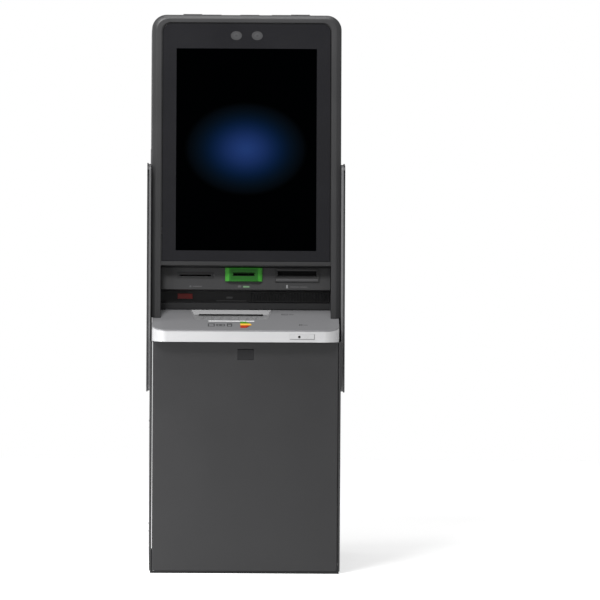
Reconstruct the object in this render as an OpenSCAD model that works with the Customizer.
/* [Cabinet] */
// Width of the cabinet and of the display head
body_w = 600; // [590:2:610]
// Depth from the shelf's nose to the rear face of the cabinet
body_d = 830; // [820:5:850]
// Height of the cabinet's flat rear top
cabinet_h = 1290; // [1280:5:1300]
// How far the front door's face stands behind the shelf's nose
door_setback = 35; // [30:1:40]
// Height of the top edge of the front door
door_top = 729; // [727:1:729]
// Thickness of the sheet-metal covers
sheet = 3; // [2:0.5:3]

/* [Display head] */
// Lean of the display head, in degrees back from upright
head_tilt = 10; // [8:1:12]
// Length of the display head along its own face
head_len = 964; // [950:2:980]
// Depth of the hinged display door
head_door_t = 70; // [66:1:72]
// Total depth of the head, measured square to its face
head_t = 180; // [170:5:200]
// Radius of the head's upper corners
head_r = 47; // [40:1:50]
// Height of the display glass
glass_h = 756; // [740:2:756]
// Width of the display glass
glass_w = 531; // [520:1:531]

/* [Shelf] */
// Depth of the sloping cash shelf, in plan
shelf_d = 200; // [190:2:200]
// Fall of the shelf from its back edge to its nose
shelf_fall = 50; // [46:1:50]
// Height of the bright band round the shelf's nose
nose_h = 37; // [34:1:38]
// Width of the shelf
shelf_w = 588; // [580:2:588]
// Radius of the shelf's front corners in plan
nose_r = 48; // [40:2:60]

/* [Cash path] */
// Width of the cash slot
cash_slot_w = 203; // [190:1:206]
// Sideways place of the cash slot's middle
cash_x = -45.5; // [-50:0.5:-44]

/* [Safe] */
// Thickness of the safe's walls
safe_wall = 12; // [10:1:14]
// Height of the safe above the plinth
safe_h = 640; // [630:1:640]
// Thickness of the safe's door
safe_door_t = 39; // [34:1:39]

/* [Hidden] */
$fn = 48;
nose_y = -body_d / 2 - 15;
rear_y = nose_y + body_d;
door_y = nose_y + door_setback;
half_w = body_w / 2;
plinth_t = 7;
plinth_h = 60;
eps = 0.01;

// Head frame of reference: x across, y into the machine, z up along the face
head_y = nose_y + 116;
head_z = 799;
ledge_u = 168;
glass_u = 181;
head_part_gap = 0.5;
shell_w0 = head_door_t + head_part_gap;
head_side_gap = 0.6;
foot_gap = 0.8;
hinge_lift = 5.5;

// Shelf frame of reference: origin on the back edge, -y runs down the slope
shelf_y = nose_y + shelf_d;
shelf_z = 820;
nose_top = shelf_z - shelf_fall;
nose_bottom = nose_top - nose_h;
slope = atan(shelf_fall / shelf_d);
shelf_t = 4;
shelf_len = shelf_d / cos(slope);

// Front door and its lift-off pivots
door_t = 20;
door_half = 292;
door_z0 = 8;
pin_in = 5.5;
pin_r = 3;
pin_fit = 0.05;
pin_len = 30;
stile = 16;
front_pin = [-door_half + pin_in, door_y + pin_in];
rear_pin = [door_half - pin_in, rear_y - pin_in];

// Lock in the front door
lock_z = 691.5;
flap_w = 50;
flap_h = 34;
flap_t = 3;
flap_knuckle_r = 2.5;
flap_pivot_z = lock_z + flap_h / 2 - flap_knuckle_r;
flap_pivot_y = door_y + flap_knuckle_r;
barrel_r = 9;
cam_len = 30;

// Rear service door and its latch
rear_door_z0 = 735;
rear_door_z1 = cabinet_h - 7;
latch_x = -262;
latch_z = 1010;
fan_x = 120;
fan_z = 1150;
fan_size = 120;
fan_t = 25;
fan_blades = 7;

// Safe
safe_half = 270;
safe_y0 = -290;
safe_y1 = 345;
safe_z0 = plinth_h;
safe_z1 = plinth_h + safe_h;
safe_door_gap = 1;
safe_door_y = safe_y1 + safe_door_gap;
safe_door_y1 = safe_door_y + safe_door_t;
safe_door_half = 268;
safe_pin = [safe_door_half - 6, safe_door_y1 - 6];
safe_pin_r = 5;
jamb_x = 290;
lug_t = 10;
lug_gap = 1.5;
safe_handle_at = [-150, 400];
safe_dial_at = [40, 400];
bolt_r = 9;
bolt_zs = [190, 400, 610];
bolt_y = safe_door_y + 12;

// Cassettes
cassette_w = 250;
cassette_h = 125;
cassette_y0 = -150;
cassette_y1 = 270;
cassette_pitch = 140;
cassette_z0 = 84;
frame_x = 131;
// Seam between plates that are bolted together
seam = 0.1;

// Card reader, receipt printer and deposit unit, in the head's frame
fascia_w0 = 45;
fascia_t = 4;
fascia_half = 267;
fascia_u0 = 96.4;
fascia_u1 = 166;
card_x = -6;
card_u = 143.7;
card_roller_r = 6;
card_roller_w = 75;
receipt_x = -158.5;
receipt_slot_w = 99;
receipt_u = 140.7;
paper_r = 38;
paper_w = 80;
paper_at = [172, 157];
platen_r = 7;
platen_at = [84, 153];
printer_w0 = 73;
printer_w1 = 222;
deposit_x = 162;
deposit_slot_w = 122;
deposit_u0 = 141.7;
deposit_u1 = 155.7;
tray_u = 108;
shaft_r = 2.5;
run_fit = 0.05;

// Recessed band with the loudspeakers and the code scanner
recess_w0 = 95;
riser_z1 = 841.5;
grille_x = 137;
grille_w = 254;
grille_pitch = 9.4;
grille_count = 26;
scanner_x = -190.5;
scanner_w = 47;
scanner_u = 79.5;

// Cash outlet, presenter and shutter
slot_z0 = 799;
slot_z1 = 807;
lip_y = shelf_y - 8;
shutter_y = shelf_y + 5;
shutter_t = 3;
presenter_roller_r = 9;
presenter_roller_y = -190;
note_z = 803;

// Audio panel in the shelf's nose
audio_x = 177.5;
audio_w = 80;
audio_h = 19;
jack_x = 168;
button_x = 191;
audio_z = nose_bottom + 17;
button_r = 4;

// Side wings
wing_front_y = -385;
wing_z0 = 571;
wing_z1 = 1279;
wing_d = 130;
wing_r = 18;
wing_cover_t = 4.5;
wing_rail_t = 7.5;

STEEL = "dimgray";
DARK = [0.16, 0.16, 0.17];
BODY = [0.25, 0.25, 0.26];
SILVER = [0.72, 0.73, 0.74];
METAL = "silver";
BLACK = [0.03, 0.03, 0.035];

// A box between two opposite corners
module block(lo, hi) {
  translate(lo)
    cube(hi - lo);
}

// Moves a shape from the head's own frame to its place on the machine
module on_head() {
  translate([0, head_y, head_z])
    rotate([-head_tilt, 0, 0])
      children();
}

// Moves a shape from the shelf's sloping frame to its place on the machine
module on_shelf() {
  translate([0, shelf_y, shelf_z])
    rotate([slope, 0, 0])
      children();
}

// A cylinder along X between x0 and x1, with its axis at y and z
module rod_x(x0, x1, y, z, r) {
  translate([x0, y, z])
    rotate([0, 90, 0])
      cylinder(r = r, h = x1 - x0);
}

// A cylinder along Y between y0 and y1, with its axis at x and z
module rod_y(y0, y1, x, z, r) {
  translate([x, y0, z])
    rotate([-90, 0, 0])
      cylinder(r = r, h = y1 - y0);
}

// Extrudes an outline drawn in Y and Z along X, from x0 to x1
module along_x(x0, x1) {
  translate([x0, 0, 0])
    rotate([90, 0, 90])
      linear_extrude(x1 - x0)
        children();
}

// Extrudes an outline drawn in X and Z along Y, from y0 to y1
module along_y(y0, y1) {
  translate([0, y1, 0])
    rotate([90, 0, 0])
      linear_extrude(y1 - y0)
        children();
}

// A rectangle from lo to hi whose four corners have radius r
module soft_rect(lo, hi, r) {
  translate([lo.x + r, lo.y])
    square([hi.x - lo.x - 2 * r, hi.y - lo.y]);
  translate([lo.x, lo.y + r])
    square([hi.x - lo.x, hi.y - lo.y - 2 * r]);
  for (x = [lo.x + r, hi.x - r], y = [lo.y + r, hi.y - r])
    translate([x, y])
      circle(r);
}

// The head's front outline: square at the foot, round at the top corners
module head_outline(half, u0, u1, r) {
  translate([-half, u0])
    square([2 * half, u1 - u0 - r]);
  translate([-half + r, u0])
    square([2 * half - 2 * r, u1 - u0]);
  for (s = [-1, 1])
    translate([s * (half - r), u1 - r])
      circle(r);
}

module base_plinth() {
  color(BLACK)
    difference() {
      union() {
        block([-297, door_y + 2, 0], [297, rear_y - 2, plinth_t]);
        difference() {
          block([-285, -370, plinth_t - eps], [285, 340, plinth_h]);
          block([-280, -365, plinth_t - 2 * eps], [280, 335, plinth_h + 1]);
        }
      }
      // Floor anchors
      for (x = [-200, 200], y = [-240, 240])
        translate([x, y, -1])
          cylinder(r = 9, h = plinth_t + 2);
      // Room for the lower ear of the safe's hinge
      block([safe_half - 28, 330, plinth_h - 12], [safe_half + 2, 345, plinth_h + 2]);
      // Wells for the levelling feet
      for (x = [-240, 240], y = [-300, 290])
        translate([x, y, -1])
          cylinder(r = 22, h = plinth_t + 2);
    }
}

module levelling_feet() {
  color(METAL)
    for (x = [-240, 240], y = [-300, 290])
      translate([x, y, 0]) {
        cylinder(r = 20, h = plinth_t);
        cylinder(r = 6, h = plinth_h - 8);
        translate([0, 0, 30])
          cylinder(r = 10, h = 9, $fn = 6);
      }
}

module safe_body() {
  inner = safe_half - safe_wall;
  color(STEEL)
    difference() {
      union() {
        block([-safe_half, safe_y0, safe_z0], [safe_half, safe_y1, safe_z1]);
        // Ears that carry the door's hinge pins
        for (z = [safe_z0 - 11, safe_z1])
          block([safe_half - 26, safe_y1 - 16, z], [safe_half, safe_door_y1 + 1, z + 11]);
      }
      block([-inner, safe_y0 + safe_wall, safe_z0 + safe_wall], [inner, safe_y1 + 50, safe_z1 - safe_wall]);
      // Note path through the roof
      block([cash_x - 110, -225, safe_z1 - safe_wall - 1], [cash_x + 110, -165, safe_z1 + 1]);
      // Hinge pin holes
      translate([safe_pin.x, safe_pin.y, safe_z0 - 20])
        cylinder(r = safe_pin_r, h = safe_h + 40);
    }
}

// Side of the lower cabinet, from the floor plate to the cabinet's top
module side_outline(top) {
  part_y0 = head_y + shell_w0 * cos(head_tilt);
  part_z0 = head_z - shell_w0 * sin(head_tilt);
  polygon([
    [door_y, plinth_t + 0.5],
    [rear_y, plinth_t + 0.5],
    [rear_y, top],
    [part_y0 + (top - part_z0) * tan(head_tilt), top],
    [part_y0 + (nose_bottom - 0.5 - part_z0) * tan(head_tilt), nose_bottom - 0.5],
    [door_y, nose_bottom - 0.5]
  ]);
}

module side_panel(s) {
  top = cabinet_h - sheet;
  color(BODY)
    mirror([s < 0 ? 1 : 0, 0, 0]) {
      along_x(half_w - sheet, half_w)
        side_outline(top);
      block([293.5, door_y, plinth_t + 0.5], [half_w - sheet + eps, door_y + 15, nose_bottom - 0.5]);
      block([293.5, rear_y - 15, plinth_t + 0.5], [half_w - sheet + eps, rear_y, top]);
    }
}

module side_panel_left() {
  side_panel(-1);
}

module side_panel_right() {
  side_panel(1);
}

module upper_frame() {
  color(DARK) {
    // Deck over the safe, on two runners
    difference() {
      union() {
        block([-288, -225, 720], [288, 385, 724]);
        for (s = [-1, 1])
          block([s * 215 - 15, -225, safe_z1], [s * 215 + 15, 340, 720 + eps]);
      }
      block([cash_x - 110, -226, 719], [cash_x + 110, -150, 725]);
    }
    // Rail across the rear, with the mains inlet's window
    difference() {
      block([-293, 385, 713], [293, rear_y - 2, 734]);
      block([-224, 384, 715], [-176, rear_y, 732]);
      translate([rear_pin.x, rear_pin.y, 700])
        cylinder(r = pin_r, h = 40);
    }
    // Sill under the shelf
    difference() {
      block([-293, door_y + 1, door_top + 0.5], [293, -235, nose_bottom]);
      translate([front_pin.x, front_pin.y, door_top - 1])
        cylinder(r = pin_r, h = 10);
    }
    // Tray behind the fascia that carries the card, receipt and deposit units
    on_head()
      difference() {
        union() {
          block([-290, 72, tray_u - 4], [290, 270, tray_u]);
          for (s = [-1, 1])
            translate([s * 287, 0, 0])
              block([-3, 72, tray_u - 40], [3, 270, tray_u + 60]);
        }
        block([-fascia_half - 1, 71, tray_u - 5], [fascia_half + 1, recess_w0 + 4, tray_u + 1]);
      }
  }
}

module top_cover() {
  color(BODY)
    difference() {
      union() {
        block([-half_w, -150, cabinet_h - sheet], [half_w, rear_y, cabinet_h]);
        block([-292, rear_y - 25, cabinet_h - 6], [292, rear_y - 1, cabinet_h - sheet + eps]);
      }
      // Cable way up into the head
      block([-270, -140, cabinet_h - 10], [270, -60, cabinet_h + 1]);
      translate([rear_pin.x, rear_pin.y, cabinet_h - 8])
        cylinder(r = pin_r, h = 5);
    }
}

module head_shell() {
  color(BODY)
    difference() {
      union() {
        on_head()
          along_y(shell_w0, head_t)
            head_outline(half_w, 400, head_len, head_r);
        // Hinge knuckles on the top edge
        on_head()
          for (x = [-200, 140])
            rod_x(x, x + 60, shell_w0 - 0.25, head_len + hinge_lift, 5);
        on_head()
          for (x = [-200, 140])
            block([x, shell_w0 + 1, head_len - 2], [x + 60, shell_w0 + 4.5, head_len + hinge_lift]);
      }
      on_head()
        along_y(shell_w0 - 1, head_t - sheet)
          head_outline(half_w - sheet, 390, head_len - sheet, head_r - sheet);
      block([-400, -400, 0], [400, 600, cabinet_h]);
      on_head()
        rod_x(-220, 220, shell_w0 - 0.25, head_len + hinge_lift, shaft_r);
    }
}

// Plan outline of the shelf, with round front corners
module shelf_plan(inset) {
  half = shelf_w / 2 - inset;
  front = nose_y + inset;
  r = nose_r - inset;
  translate([-half, front + r])
    square([2 * half, shelf_y - front - r]);
  translate([-half + r, front])
    square([2 * half - 2 * r, shelf_y - front]);
  for (s = [-1, 1])
    translate([s * (half - r), front + r])
      circle(r);
}

// Keeps what is on the shelf's slope between two depths below its face
module slope_slab(lo, hi) {
  intersection() {
    translate([0, 0, nose_bottom])
      linear_extrude(200)
        shelf_plan(0);
    on_shelf()
      block([-400, -shelf_len - 60, lo], [400, 60, hi]);
  }
}

// Footprint of the cash slot surround in the shelf's plane
module surround_plan(grow) {
  polygon([
    [cash_x - 131.5 - grow, 1],
    [cash_x + 131.5 + grow, 1],
    [cash_x + 114 + grow, -98 - grow],
    [cash_x - 114 - grow, -98 - grow]
  ]);
}

module shelf_top() {
  color(SILVER)
    difference() {
      slope_slab(-shelf_t, 0);
      on_shelf()
        translate([0, 0, -30])
          linear_extrude(60)
            surround_plan(0.2);
      on_shelf()
        translate([0, 0, -1])
          linear_extrude(5)
            arrow_plan(0.1);
    }
}

module shelf_nose() {
  color("white")
    difference() {
      translate([0, 0, nose_bottom])
        linear_extrude(120)
          difference() {
            shelf_plan(0);
            shelf_plan(8);
            translate([-400, shelf_y - 0.1])
              square([800, 10]);
          }
      on_shelf()
        block([-400, -shelf_len - 60, -shelf_t], [400, 60, 200]);
      // Seat for the audio panel
      block([audio_x - audio_w / 2, nose_y - 1, audio_z - audio_h / 2],
            [audio_x + audio_w / 2, nose_y + 3, audio_z + audio_h / 2]);
      rod_y(nose_y, nose_y + 9, jack_x, audio_z, 4.1);
      rod_y(nose_y, nose_y + 9, button_x, audio_z, button_r + 0.3);
    }
}

module cash_slot_surround() {
  half = cash_slot_w / 2;
  color("white")
    difference() {
      intersection() {
        on_shelf()
          translate([0, 0, -26])
            linear_extrude(26)
              surround_plan(0);
        block([-400, -400, 780], [400, shelf_y - 0.1, 900]);
      }
      // Hollow: a steep rear wall above the slot and a nearly level floor
      intersection() {
        along_x(-400, 400)
          polygon([
            [shelf_y - 0.5, 835],
            [shelf_y - 0.5, 820],
            [lip_y, slot_z1],
            [lip_y, 802],
            [shelf_y - 91, 797],
            [shelf_y - 91, 835]
          ]);
        on_shelf()
          translate([0, 0, -40])
            linear_extrude(80)
              surround_plan(-6);
      }
      // The slot itself
      block([cash_x - half, lip_y - 2, 802], [cash_x + half, shelf_y + 5, slot_z1]);
      // Finger flutes along the front of the floor
      for (i = [-3:3])
        translate([cash_x + i * 28, shelf_y - 50, 808])
          rotate([90 + 5, 0, 0])
            cylinder(r = 11, h = 50);
    }
}

// An arrow head that points to the right
module arrow_plan(grow) {
  polygon([
    [-17 - grow, -119 + grow],
    [2, -119 + grow],
    [19 + grow, -150],
    [2, -181 - grow],
    [-17 - grow, -181 - grow]
  ]);
}

module arrow_lens() {
  color("gold")
    on_shelf()
      translate([0, 0, -1])
        linear_extrude(1.6)
          arrow_plan(0);
}

module audio_plate() {
  color(SILVER)
    difference() {
      block([audio_x - audio_w / 2 + 0.3, nose_y + 0.4, audio_z - audio_h / 2 + 0.3],
            [audio_x + audio_w / 2 - 0.3, nose_y + 3, audio_z + audio_h / 2 - 0.3]);
      rod_y(nose_y, nose_y + 9, jack_x, audio_z, 4.1);
      rod_y(nose_y, nose_y + 9, button_x, audio_z, button_r + 0.3);
    }
}

module headphone_jack() {
  color(BLACK)
    difference() {
      union() {
        rod_y(nose_y + 0.4, nose_y + 9, jack_x, audio_z, 4);
        block([jack_x - 7, nose_y + 8, audio_z - 6], [jack_x + 7, nose_y + 24, audio_z + 6]);
      }
      rod_y(nose_y, nose_y + 20, jack_x, audio_z, 1.8);
    }
}

module volume_button() {
  color(SILVER) {
    rod_y(nose_y, nose_y + 12, button_x, audio_z, button_r);
    rod_y(nose_y + 9.5, nose_y + 11.5, button_x, audio_z, button_r + 2);
  }
}

module fascia_panel() {
  color(DARK)
    on_head()
      difference() {
        union() {
          block([-fascia_half, fascia_w0, fascia_u0], [fascia_half, fascia_w0 + fascia_t, fascia_u1]);
          // Return along the bottom, back to the recessed band
          block([-fascia_half, fascia_w0, fascia_u0], [fascia_half, recess_w0, fascia_u0 + 3]);
          for (s = [-1, 1])
            translate([s * (fascia_half - 1.5), 0, 0])
              block([-1.5, fascia_w0, fascia_u0], [1.5, recess_w0, fascia_u1]);
        }
        // Windows for the three units
        block([receipt_x - 53, 40, 134], [receipt_x + 53, 60, 147.5]);
        block([card_x - 54, 40, 125], [card_x + 54, 60, 160]);
        block([deposit_x - 65, 40, 125], [deposit_x + 65, 60, 158]);
      }
}

module card_bezel() {
  half = 58.5;
  color("limegreen")
    on_head()
      difference() {
        union() {
          translate([card_x, 0, card_u - 22])
            linear_extrude(43)
              polygon([
                [-half, fascia_w0 - 0.1],
                [-half, 41],
                [-half + 12.5, 33],
                [half - 12.5, 33],
                [half, 41],
                [half, fascia_w0 - 0.1]
              ]);
          block([card_x - 53.5, fascia_w0 - 0.2, 125.5], [card_x + 53.5, 50, 159.5]);
        }
        // Mouth and slit
        block([card_x - 34, 30, card_u - 2.7], [card_x + 34, 45, card_u + 2.7]);
        block([card_x - 32, 30, card_u - 1.2], [card_x + 32, 60, card_u + 1.2]);
      }
}

module card_reader() {
  color(BLACK)
    on_head()
      difference() {
        block([card_x - 46, 51, tray_u + 0.5], [card_x + 46, 210, fascia_u1]);
        // Card path
        block([card_x - 33, 50, card_u - 2], [card_x + 33, 180, card_u + 2]);
        // Roller well and its bearings
        block([card_x - 30, card_roller_w - 9, card_u], [card_x + 30, card_roller_w + 9, fascia_u1 + 1]);
        rod_x(card_x - 42, card_x + 42, card_roller_w, card_u + card_roller_r + 0.3, shaft_r + run_fit);
      }
}

module card_roller() {
  color("dimgray")
    on_head() {
      rod_x(card_x - 28, card_x + 28, card_roller_w, card_u + card_roller_r + 0.3, card_roller_r);
      rod_x(card_x - 41, card_x + 41, card_roller_w, card_u + card_roller_r + 0.3, shaft_r);
    }
}

module receipt_trim() {
  half = receipt_slot_w / 2;
  color(BLACK)
    on_head()
      difference() {
        union() {
          block([receipt_x - 57, 43.2, 132], [receipt_x + 57, fascia_w0 - 0.1, 149.5]);
          block([receipt_x - 52.5, 44, 134.5], [receipt_x + 52.5, 54, 147]);
        }
        block([receipt_x - half, 40, receipt_u - 2.5], [receipt_x + half, 60, receipt_u + 2.5]);
      }
}

// One side plate of the receipt printer, with its two bearings
module printer_cheek(x) {
  difference() {
    block([x - 1.5, printer_w0, tray_u + 0.5], [x + 1.5, printer_w1, 205]);
    rod_x(x - 5, x + 5, paper_at.x, paper_at.y, shaft_r + run_fit);
    rod_x(x - 5, x + 5, platen_at.x, platen_at.y, shaft_r + run_fit);
  }
}

module receipt_printer() {
  color(STEEL)
    on_head() {
      printer_cheek(receipt_x - 50);
      printer_cheek(receipt_x + 50);
      block([receipt_x - 50, printer_w0, tray_u + 0.5], [receipt_x + 50, printer_w1, tray_u + 3.5]);
      block([receipt_x - 50, printer_w1 - 3, tray_u + 0.5], [receipt_x + 50, printer_w1, 205]);
      // Paper guide that leads to the slot
      block([receipt_x - 50, 56, 134], [receipt_x + 50, platen_at.x + 14, 138]);
      // Print head above the platen
      block([receipt_x - 50, 74, platen_at.y + platen_r + 1], [receipt_x + 50, 96, platen_at.y + 22]);
    }
}

module paper_roll() {
  color("white")
    on_head() {
      rod_x(receipt_x - paper_w / 2, receipt_x + paper_w / 2, paper_at.x, paper_at.y, paper_r);
      rod_x(receipt_x - 51.5, receipt_x + 51.5, paper_at.x, paper_at.y, shaft_r);
    }
}

module platen_roller() {
  color("dimgray")
    on_head() {
      rod_x(receipt_x - 43, receipt_x + 43, platen_at.x, platen_at.y, platen_r);
      rod_x(receipt_x - 51.5, receipt_x + 51.5, platen_at.x, platen_at.y, shaft_r);
    }
}

module deposit_bezel() {
  half = deposit_slot_w / 2;
  color(BLACK)
    on_head()
      difference() {
        union() {
          block([deposit_x - 69, 41, 121], [deposit_x + 69, fascia_w0 - 0.1, 161]);
          block([deposit_x - 64.5, fascia_w0 - 0.2, 125.5], [deposit_x + 64.5, fascia_w0 + 4, 157.5]);
        }
        block([deposit_x - half, 40, deposit_u0], [deposit_x + half, 60, deposit_u1]);
        // Ramp below the slot
        along_x(deposit_x - 64, deposit_x + 64)
          polygon([
            [40.9, 125],
            [40.9, deposit_u0 + 0.01],
            [47, deposit_u0 + 0.01]
          ]);
      }
}

module deposit_shutter() {
  half = deposit_slot_w / 2;
  color(BLACK)
    on_head()
      block([deposit_x - half - 2, fascia_w0 + 5, deposit_u0 - 2],
            [deposit_x + half + 2, fascia_w0 + 7.5, deposit_u1 + 2]);
}

module deposit_module() {
  color(STEEL)
    on_head()
      difference() {
        union() {
          block([deposit_x - 72, 56, tray_u + 0.5], [deposit_x + 72, 260, fascia_u1]);
          block([deposit_x - 72, head_door_t + 3, tray_u + 0.5], [deposit_x + 72, 260, 196]);
        }
        block([deposit_x - 62, 55, deposit_u0], [deposit_x + 62, 240, deposit_u1]);
      }
}

// A point of the head's frame, w deep and u up the face, as Y and Z on the machine
function head_pt(w, u) = [
  head_y + w * cos(head_tilt) + u * sin(head_tilt),
  head_z - w * sin(head_tilt) + u * cos(head_tilt)
];

// The height u along the face at which depth w reaches height z
function u_at(w, z) = (z - head_z + w * sin(head_tilt)) / cos(head_tilt);

module recess_panel() {
  back = recess_w0 + 3;
  top_u = fascia_u0 - 0.2;
  color(BLACK)
    difference() {
      // One folded sheet: riser, ledge and leaning back
      along_x(-fascia_half, fascia_half)
        polygon([
          [shelf_y - 1, 822],
          [shelf_y + 2, 822],
          [shelf_y + 2, riser_z1 - 3],
          head_pt(back, u_at(back, riser_z1 - 3)),
          head_pt(back, top_u),
          head_pt(recess_w0, top_u),
          head_pt(recess_w0, u_at(recess_w0, riser_z1)),
          [shelf_y - 1, riser_z1]
        ]);
      // Windows for the loudspeakers and the scanner
      on_head()
        block([grille_x - grille_w / 2 + 6, recess_w0 - 1, 64], [grille_x + grille_w / 2 - 6, recess_w0 + 5, 91]);
      on_head()
        block([scanner_x - scanner_w / 2 + 2, recess_w0 - 1, scanner_u - 6],
              [scanner_x + scanner_w / 2 - 2, recess_w0 + 5, scanner_u + 6]);
    }
}

module speaker_grille() {
  color(BLACK)
    on_head()
      difference() {
        block([grille_x - grille_w / 2, recess_w0 - 3, 62], [grille_x + grille_w / 2, recess_w0 - 0.1, 94]);
        for (i = [0:grille_count - 1])
          translate([grille_x - grille_w / 2 + 9.5 + i * grille_pitch, 0, 0])
            block([-2.2, recess_w0 - 5, 65], [2.2, recess_w0 + 1, 91]);
      }
}

module speakers() {
  color(STEEL)
    on_head()
      for (x = [grille_x - 62, grille_x + 62])
        translate([x, recess_w0 + 3.5, 77])
          rotate([-90, 0, 0])
            difference() {
              union() {
                cylinder(r = 25, h = 4);
                cylinder(r1 = 23, r2 = 12, h = 18);
                cylinder(r = 15, h = 28);
              }
              translate([0, 0, -1])
                cylinder(r1 = 21, r2 = 7, h = 13);
            }
}

module scanner_window() {
  color("darkred")
    on_head() {
      block([scanner_x - scanner_w / 2, recess_w0 - 2.5, scanner_u - 8],
            [scanner_x + scanner_w / 2, recess_w0 - 0.1, scanner_u + 8]);
    }
  color(BLACK)
    on_head()
      block([scanner_x - 30, recess_w0 + 3.5, scanner_u - 14], [scanner_x + 30, recess_w0 + 60, scanner_u + 14]);
}

module cash_dispenser() {
  inner = frame_x - seam;
  color(METAL) {
    for (s = [-1, 1])
      translate([s * (frame_x + 2), 0, 0])
        block([-2, -232, 73], [2, 290, 655]);
    for (i = [0:4])
      block([-inner, -232, cassette_z0 - 4 + i * cassette_pitch],
            [inner, 290, cassette_z0 - 1 + i * cassette_pitch]);
  }
  // Pick units, one in front of each cassette
  color(BLACK)
    for (i = [0:3])
      block([-inner, -228, cassette_z0 - 1 + seam + i * cassette_pitch],
            [inner, -158, cassette_z0 + 120 + i * cassette_pitch]);
}

// A note cassette: a closed box with a bail handle at its rear end
module cassette(i) {
  z0 = cassette_z0 + i * cassette_pitch;
  half = cassette_w / 2 - 1;
  difference() {
    block([-half, cassette_y0, z0], [half, cassette_y1, z0 + cassette_h]);
    block([-half + 4, cassette_y0 - 1, z0 + 4], [half - 4, cassette_y1 - 6, z0 + cassette_h - 4]);
  }
  // Handle
  difference() {
    block([-60, cassette_y1 - eps, z0 + 50], [60, cassette_y1 + 28, z0 + 75]);
    block([-48, cassette_y1 - 1, z0 + 40], [48, cassette_y1 + 18, z0 + 85]);
  }
}

module cassette_1() {
  color("royalblue")
    cassette(0);
}

module cassette_2() {
  color("royalblue")
    cassette(1);
}

module cassette_3() {
  color("royalblue")
    cassette(2);
}

module reject_bin() {
  color("firebrick")
    cassette(3);
}

module presenter() {
  x0 = cash_x - cash_slot_w / 2 - 6;
  x1 = cash_x + cash_slot_w / 2 + 6;
  color(METAL)
    difference() {
      union() {
        for (x = [x0, x1])
          block([x - 2, -215, 724.5], [x + 2, -90, 836]);
        // Guides above and below the notes
        block([x0, -215, 796], [x1, -90, 798]);
        block([x0, -215, 807], [x1, -90, 809]);
        // Riser duct down to the safe
        block([x0, -100, 724.5], [x1, -97, 797]);
        block([x0, -160, 724.5], [x1, -157, 797]);
      }
      block([x0 + 6, presenter_roller_y - 12, 790], [x1 - 6, presenter_roller_y + 12, 800]);
      rod_x(x0 - 5, x1 + 5, presenter_roller_y, note_z - presenter_roller_r - 3, shaft_r + run_fit);
      block([x0 + 6, -157, 790], [x1 - 6, -100, 800]);
    }
}

module presenter_roller() {
  z = note_z - presenter_roller_r - 3;
  x0 = cash_x - cash_slot_w / 2 - 6;
  x1 = cash_x + cash_slot_w / 2 + 6;
  color("dimgray") {
    for (x = [-70, 0, 70])
      rod_x(cash_x + x - 12, cash_x + x + 12, presenter_roller_y, z, presenter_roller_r);
    rod_x(x0 - 2, x1 + 2, presenter_roller_y, z, shaft_r);
  }
}

module cash_shutter() {
  half = cash_slot_w / 2 + 3;
  color(BLACK)
    block([cash_x - half, shutter_y, slot_z0 - 2], [cash_x + half, shutter_y + shutter_t, slot_z1 + 5]);
}

// A case of six bolted plates, with vents in its right side
module pc_core() {
  lo = [40, 60, 724.5];
  hi = [250, 340, 1000];
  t = 3;
  color(STEEL) {
    for (z = [lo.z, hi.z - t])
      block([lo.x, lo.y, z], [hi.x, hi.y, z + t]);
    for (y = [lo.y, hi.y - t])
      block([lo.x, y, lo.z + t + seam], [hi.x, y + t, hi.z - t - seam]);
    block([lo.x, lo.y + t + seam, lo.z + t + seam], [lo.x + t, hi.y - t - seam, hi.z - t - seam]);
    difference() {
      block([hi.x - t, lo.y + t + seam, lo.z + t + seam], [hi.x, hi.y - t - seam, hi.z - t - seam]);
      for (i = [0:9])
        block([hi.x - 10, 90 + i * 22, 800], [hi.x + 10, 100 + i * 22, 930]);
    }
  }
}

module power_supply() {
  color(METAL)
    difference() {
      block([-250, 60, 724.5], [-90, 300, 850]);
      for (i = [0:7])
        block([-235 + i * 18, 290, 745], [-227 + i * 18, 301, 830]);
    }
}

module mains_inlet() {
  color(BLACK)
    difference() {
      block([-223.5, 362, 724.5], [-176.5, rear_y - 1.5, 731.5]);
      block([-212, 392, 726.5], [-188, rear_y, 729.5]);
    }
}

// Leaning outline of a side wing, drawn in Y and Z
module wing_outline(inset) {
  lean = tan(head_tilt);
  r = wing_r - inset;
  y0 = wing_front_y + inset;
  lows = [y0 + r, wing_front_y + wing_d - inset - r];
  z0 = wing_z0 + inset + r;
  z1 = wing_z1 - inset - r;
  rise = (z1 - z0) * lean;
  polygon([
    [lows[0] - r * cos(head_tilt), z0 + r * sin(head_tilt)],
    [lows[0] + rise - r * cos(head_tilt), z1 + r * sin(head_tilt)],
    [lows[0] + rise, z1 + r],
    [lows[1] + rise, z1 + r],
    [lows[1] + rise + r * cos(head_tilt), z1 - r * sin(head_tilt)],
    [lows[1] + r * cos(head_tilt), z0 - r * sin(head_tilt)],
    [lows[1], z0 - r],
    [lows[0], z0 - r]
  ]);
  for (y = lows) {
    translate([y, z0])
      circle(r);
    translate([y + rise, z1])
      circle(r);
  }
}

module wing_left() {
  color(DARK)
    along_x(-half_w - wing_rail_t - wing_cover_t, -half_w - wing_rail_t)
      wing_outline(0);
}

module wing_right() {
  color(DARK)
    along_x(half_w + wing_rail_t, half_w + wing_rail_t + wing_cover_t)
      wing_outline(0);
}

module wing_rails() {
  color(SILVER) {
    along_x(-half_w - wing_rail_t, -half_w)
      wing_outline(3);
    along_x(half_w, half_w + wing_rail_t)
      wing_outline(3);
  }
}

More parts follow.
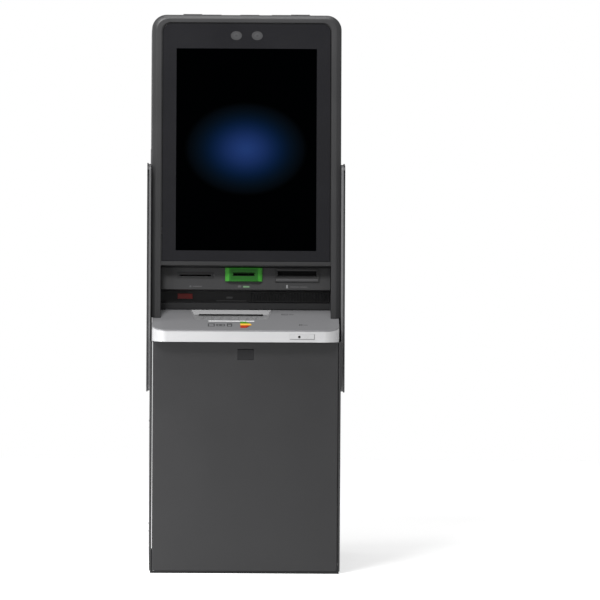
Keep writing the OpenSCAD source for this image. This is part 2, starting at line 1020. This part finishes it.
module door_fittings() {
  color("silver") {
    // Front door
    translate([front_pin.x, front_pin.y, plinth_t])
      cylinder(r = pin_r, h = pin_len - plinth_t);
    translate([front_pin.x, front_pin.y, door_top - pin_len + 4])
      cylinder(r = pin_r, h = pin_len);
    // Rear service door
    translate([rear_pin.x, rear_pin.y, 715])
      cylinder(r = pin_r, h = pin_len + 15);
    translate([rear_pin.x, rear_pin.y, cabinet_h - 3 - pin_len])
      cylinder(r = pin_r, h = pin_len);
    // Safe door
    for (z = [safe_z0 - 11, safe_z1 - 29])
      translate([safe_pin.x, safe_pin.y, z])
        cylinder(r = safe_pin_r, h = 40);
    // Display door
    on_head()
      rod_x(-200, 200, shell_w0 - 0.25, head_len + hinge_lift, shaft_r);
    // Lugs on the safe's side that each locking bolt slides between
    for (z = bolt_zs, s = [-1, 1])
      translate([0, 0, z + s * (bolt_r + lug_gap + lug_t / 2)])
        block([-jamb_x, safe_y1 - 20, -lug_t / 2], [-safe_half, safe_door_y1 - 6, lug_t / 2]);
    // Keeper for the front lock, and the strike for the rear latch
    block([-15, door_y + 24, 705], [15, door_y + 27, door_top + 0.5]);
    block([-half_w + sheet, 372, latch_z - 15], [-285, 375, latch_z + 15]);
  }
}

// Plan of a door: a bar with its outer edges rounded
module door_plan(x0, x1, y0, y1) {
  r = 3;
  translate([x0 + r, y0])
    square([x1 - x0 - 2 * r, y1 - y0]);
  translate([x0, y0 + r])
    square([x1 - x0, y1 - y0 - r]);
  for (x = [x0 + r, x1 - r])
    translate([x, y0 + r])
      circle(r);
}

module front_door() {
  back = door_y + door_t;
  color(BODY)
    difference() {
      union() {
        difference() {
          translate([0, 0, door_z0])
            linear_extrude(door_top - door_z0)
              door_plan(-door_half, door_half, door_y, back);
          block([-door_half + stile, door_y + sheet, door_z0 + 6], [door_half - 6, back + 1, door_top - 6]);
        }
        // Cup behind the lock cover
        block([-32, door_y + 1, lock_z - 24], [32, door_y + 17, lock_z + 24]);
      }
      block([-flap_w / 2 - 0.5, door_y - 1, lock_z - flap_h / 2 - 0.5],
            [flap_w / 2 + 0.5, door_y + 11, lock_z + flap_h / 2 + 0.5]);
      rod_y(door_y, door_y + 20, 0, lock_z - 2, barrel_r + run_fit);
      // Seats for the cover's pivots
      rod_x(-flap_w / 2 - 4, flap_w / 2 + 4, flap_pivot_y + 0.5, flap_pivot_z, 1 + run_fit);
      // Pivot bores
      translate([front_pin.x, front_pin.y, door_z0 - 1])
        cylinder(r = pin_r + pin_fit, h = pin_len);
      translate([front_pin.x, front_pin.y, door_top - pin_len + 1])
        cylinder(r = pin_r + pin_fit, h = pin_len);
    }
}

module lock_cover() {
  half = flap_w / 2;
  y0 = door_y + 0.5;
  color(DARK) {
    block([-half, y0, lock_z - flap_h / 2], [half, y0 + flap_t, flap_pivot_z]);
    rod_x(-half, half, flap_pivot_y + 0.5, flap_pivot_z, flap_knuckle_r);
    rod_x(-half - 3.5, half + 3.5, flap_pivot_y + 0.5, flap_pivot_z, 1);
  }
}

module front_lock() {
  z = lock_z - 2;
  color("silver")
    difference() {
      union() {
        rod_y(door_y + 7, door_y + 32, 0, z, barrel_r);
        block([-8, door_y + 29, z - 6], [cam_len, door_y + 32, z + 6]);
      }
      block([-1, door_y + 6, z - 5], [1, door_y + 16, z + 5]);
    }
}

module head_frame() {
  half = half_w - head_side_gap;
  color(BODY)
    on_head()
      difference() {
        union() {
          difference() {
            along_y(0, head_door_t)
              head_outline(half, 0.6, head_len, head_r);
            // Hollow behind the glass
            block([-half + 6, 9, ledge_u + 6], [half - 6, head_door_t + 1, head_len - head_r]);
            block([-half + head_r, 9, ledge_u + 6], [half - head_r, head_door_t + 1, head_len - 6]);
            // Window for the glass, and the rabbet it lies in
            block([-glass_w / 2 + 10, -1, glass_u + 10], [glass_w / 2 - 10, 12, glass_u + glass_h - 10]);
            block([-glass_w / 2, -1, glass_u], [glass_w / 2, 6.2, glass_u + glass_h]);
            // Open bay between the cheeks
            block([-fascia_half - 1, -1, -1], [fascia_half + 1, head_door_t + 1, ledge_u]);
          }
          // Hinge knuckles on the top edge
          for (x = [-139, -20, 79])
            rod_x(x, x + 60, shell_w0 - 0.25, head_len + hinge_lift, 5);
          for (x = [-139, -20, 79])
            block([x, head_door_t - 5, head_len - 2], [x + 60, head_door_t - 1, head_len + hinge_lift]);
        }
        rod_x(-220, 220, shell_w0 - 0.25, head_len + hinge_lift, shaft_r + run_fit);
        // Hollow cheeks
        for (s = [-1, 1])
          translate([s * (half - 16), 0, 0])
            block([-10, 6, 8], [10, head_door_t + 1, ledge_u]);
        // Feet cut to the slope of the shelf
        rotate([head_tilt, 0, 0])
          translate([0, -head_y, -head_z])
            on_shelf()
              block([-400, -shelf_len, -80], [400, 80, foot_gap]);
      }
}

// Outline of the two camera windows, grown by g
module camera_outline(g) {
  for (s = [-1, 1])
    translate([s * 33, 898]) {
      for (k = [-1, 1])
        translate([k * 3.5, 0])
          circle(14.5 + g);
      translate([-3.5, -14.5 - g])
        square([7, 29 + 2 * g]);
    }
}

module screen_glass() {
  color(BLACK)
    on_head()
      difference() {
        block([-glass_w / 2 + 0.5, 2, glass_u + 0.5], [glass_w / 2 - 0.5, 6, glass_u + glass_h - 0.5]);
        along_y(-5, 10)
          camera_outline(0.1);
      }
}

module camera_windows() {
  color(STEEL)
    on_head() {
      along_y(1.5, 6)
        camera_outline(0);
      // Camera bodies behind the windows
      for (s = [-1, 1])
        rod_y(6 - eps, 40, s * 33, 898, 13);
    }
}

module lcd_panel() {
  color(BLACK)
    on_head() {
      block([-240, 12, 200], [240, 40, 872]);
      // Rails that carry the panel in the door
      for (u = [240, 820])
        block([-293.4 + eps, 40 - eps, u], [293.4 - eps, 46, u + 30]);
    }
}

module rear_door() {
  z0 = rear_door_z0;
  z1 = rear_door_z1;
  color(BODY)
    difference() {
      mirror([0, 1, 0])
        difference() {
          translate([0, 0, z0])
            linear_extrude(z1 - z0)
              door_plan(-door_half, door_half, -rear_y, -rear_y + door_t);
          block([-door_half + 6, -rear_y + sheet, z0 + 6], [door_half - stile, -rear_y + door_t + 1, z1 - 6]);
        }
      // Vent slots over the fan
      for (i = [0:8])
        block([fan_x - 52, rear_y - 10, fan_z - 50 + i * 12], [fan_x + 52, rear_y + 1, fan_z - 44 + i * 12]);
      rod_y(rear_y - 30, rear_y + 1, latch_x, latch_z, barrel_r + run_fit);
      translate([rear_pin.x, rear_pin.y, z0 - 1])
        cylinder(r = pin_r + pin_fit, h = pin_len);
      translate([rear_pin.x, rear_pin.y, z1 - pin_len + 1])
        cylinder(r = pin_r + pin_fit, h = pin_len);
    }
}

module rear_latch() {
  color("silver") {
    rod_y(rear_y - 34, rear_y + 10, latch_x, latch_z, barrel_r);
    rod_y(rear_y + 0.3, rear_y + 3, latch_x, latch_z, barrel_r + 5);
    block([latch_x - 5, rear_y + 9, latch_z - 30], [latch_x + 5, rear_y + 22, latch_z + 30]);
    block([latch_x - 6, rear_y - 34, latch_z - 8], [latch_x + 6, rear_y - 31, latch_z + 31]);
  }
}

module fan_housing() {
  h = fan_size / 2;
  y1 = rear_y - sheet - 1;
  color(BLACK)
    difference() {
      block([fan_x - h, y1 - fan_t, fan_z - h], [fan_x + h, y1 + 1, fan_z + h]);
      rod_y(y1 - fan_t + 3, y1 + 2, fan_x, fan_z, 56);
      for (a = [0:5])
        translate([fan_x, 0, fan_z])
          rotate([0, a * 60, 0])
            translate([-12, y1 - fan_t - 1, 12])
              cube([24, 5, 40]);
    }
}

module fan_rotor() {
  y1 = rear_y - sheet - 1;
  color(STEEL) {
    rod_y(y1 - fan_t + 5, y1 - 2, fan_x, fan_z, 19);
    for (i = [0:fan_blades - 1])
      translate([fan_x, y1 - fan_t / 2 + 1, fan_z])
        rotate([0, i * 360 / fan_blades, 0])
          rotate([0, 0, 35])
            translate([-9, -1, 17])
              cube([18, 2, 36]);
  }
}

module safe_door() {
  color(STEEL)
    difference() {
      union() {
        block([-safe_door_half, safe_door_y, safe_z0 + 2], [safe_door_half, safe_door_y1, safe_z1 - 2]);
        // Plug that closes the mouth of the safe
        difference() {
          block([-250, safe_door_y - 6, safe_z0 + 20], [225, safe_door_y + eps, safe_z1 - 20]);
          block([-240, safe_door_y - 7, safe_z0 + 30], [215, safe_door_y - eps, safe_z1 - 30]);
        }
      }
      // Rounded pivot edge
      difference() {
        block([safe_pin.x, safe_pin.y, 0], [safe_pin.x + 10, safe_pin.y + 10, 800]);
        translate([safe_pin.x, safe_pin.y, -1])
          cylinder(r = 6, h = 802);
      }
      translate([safe_pin.x, safe_pin.y, safe_z0])
        cylinder(r = safe_pin_r + pin_fit, h = 32);
      translate([safe_pin.x, safe_pin.y, safe_z1 - 32])
        cylinder(r = safe_pin_r + pin_fit, h = 40);
      // Bolt work: a chamber for the carrier bar and a bore for each bolt
      block([-231, bolt_y - 10, 150], [-180, bolt_y + 10, 650]);
      for (z = bolt_zs)
        rod_x(-safe_door_half - 1, -220, bolt_y, z, bolt_r + run_fit);
      // Handle and dial spindles
      rod_y(safe_door_y + 10, safe_door_y1 + 1, safe_handle_at.x, safe_handle_at.y, 10 + run_fit);
      rod_y(safe_door_y + 10, safe_door_y1 + 1, safe_dial_at.x, safe_dial_at.y, 8 + run_fit);
    }
}

module safe_handle() {
  color("silver")
    translate([safe_handle_at.x, 0, safe_handle_at.y]) {
      rod_y(safe_door_y + 12, safe_door_y1 + 20, 0, 0, 10);
      rod_y(safe_door_y1 + 0.5, safe_door_y1 + 6, 0, 0, 22);
      for (a = [0, 120, 240])
        rotate([0, a, 0])
          translate([0, safe_door_y1 + 26, 0]) {
            cylinder(r = 6, h = 70);
            translate([0, 0, 72])
              sphere(r = 11);
          }
      rod_y(safe_door_y1 + 16, safe_door_y1 + 45, 0, 0, 16);
    }
}

module safe_bolts() {
  color("silver") {
    for (z = bolt_zs)
      rod_x(-safe_door_half + 1, -212, bolt_y, z, bolt_r);
    block([-213, bolt_y - 7, 170], [-200, bolt_y + 7, 630]);
  }
}

module safe_dial() {
  color(BLACK)
    translate([safe_dial_at.x, 0, safe_dial_at.y])
      difference() {
        union() {
          rod_y(safe_door_y + 12, safe_door_y1 + 6, 0, 0, 8);
          rod_y(safe_door_y1 + 0.5, safe_door_y1 + 14, 0, 0, 38);
          rod_y(safe_door_y1 + 13, safe_door_y1 + 34, 0, 0, 20);
        }
        for (a = [0:15:345])
          rotate([0, a, 0])
            block([-1, safe_door_y1 + 18, 19], [1, safe_door_y1 + 40, 22]);
      }
}

base_plinth();
levelling_feet();
safe_body();
side_panel_left();
side_panel_right();
upper_frame();
top_cover();
head_shell();
shelf_top();
shelf_nose();
cash_slot_surround();
arrow_lens();
audio_plate();
headphone_jack();
fascia_panel();
card_bezel();
card_reader();
receipt_trim();
receipt_printer();
deposit_bezel();
deposit_module();
recess_panel();
speaker_grille();
speakers();
scanner_window();
cash_dispenser();
presenter();
pc_core();
power_supply();
mains_inlet();
wing_left();
wing_right();
wing_rails();
door_fittings();
front_door();
lock_cover();
front_lock();
head_frame();
screen_glass();
lcd_panel();
camera_windows();
rear_door();
rear_latch();
fan_housing();
fan_rotor();
safe_door();
safe_handle();
safe_bolts();
safe_dial();
cash_shutter();
deposit_shutter();
card_roller();
paper_roll();
platen_roller();
presenter_roller();
volume_button();
cassette_1();
cassette_2();
cassette_3();
reject_bin();
